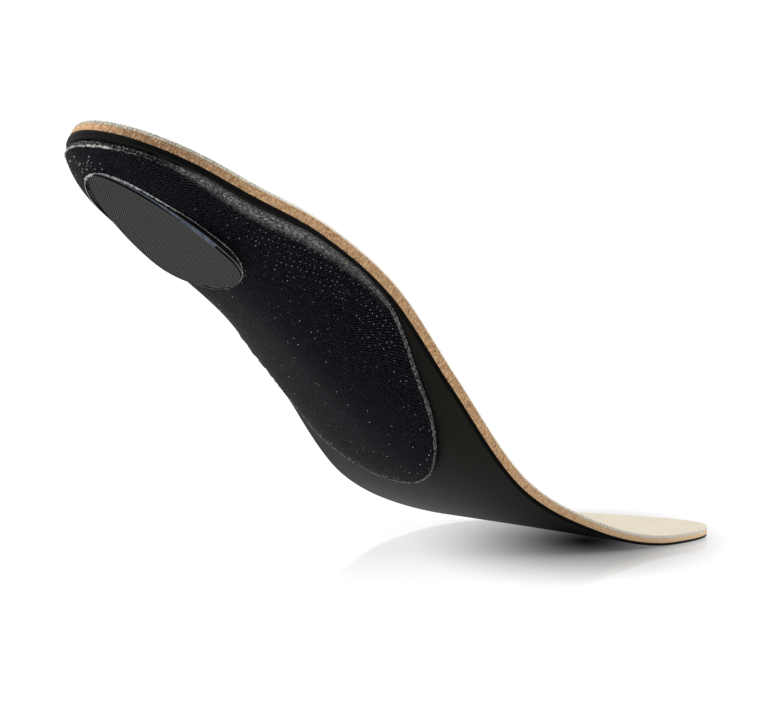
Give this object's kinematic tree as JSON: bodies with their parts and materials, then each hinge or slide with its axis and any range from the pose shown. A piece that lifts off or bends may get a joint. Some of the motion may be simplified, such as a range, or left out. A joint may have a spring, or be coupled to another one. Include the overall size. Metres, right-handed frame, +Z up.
{
  "type": "foot orthosis insole",
  "caption": "Full-length custom foot orthosis for a left shoe: layered insole with a cupped heel, arch shell and flat heel pad, flexing behind the toes.",
  "frame": {"origin": "on the flat sole, under the middle of the toes, where the insole rests", "axes": "+X from heel to toe, +Y towards the little toe of this left foot, +Z up from the flat sole"},
  "size_m": [0.2217, 0.0964, 0.1314],
  "materials": {
    "textile_cover": "cream woven textile, greige at its cut edge",
    "tan_cushion": "tan, fibrous at its ground edge",
    "base_foam": "smooth dense black foam",
    "knit": "black knit with small glossy resin dots",
    "shell_core": "grey fibre-filled core, rough where ground",
    "post_foam": "dense black foam, ground",
    "glue": "blue-grey glossy glue line",
    "ribbed_sheet": "dark grey with fine ribs"
  },
  "bodies": {
    "forefoot": {"top_cover_front": "textile_cover", "cushion_front": "tan_cushion", "base_foam_front": "base_foam"},
    "rearfoot": {"top_cover_rear": "textile_cover", "cushion_rear": "tan_cushion", "base_foam_rear": "base_foam", "shell_inner_skin": "knit", "shell_core": "shell_core", "shell_knit_skin": "knit", "heel_post": "post_foam", "heel_pad_glue": "glue", "heel_pad_sheet": "ribbed_sheet"}
  },
  "joints": [
    {"name": "toe_flex", "type": "hinge", "parent": "forefoot", "child": "rearfoot", "pos_m": [-0.04441, 0.00781, 0.00696], "axis": [-0.1115, 0.9938, 0], "range_deg": [-36, 18], "stiffness_Nm_per_rad": 0.2}
  ]
}
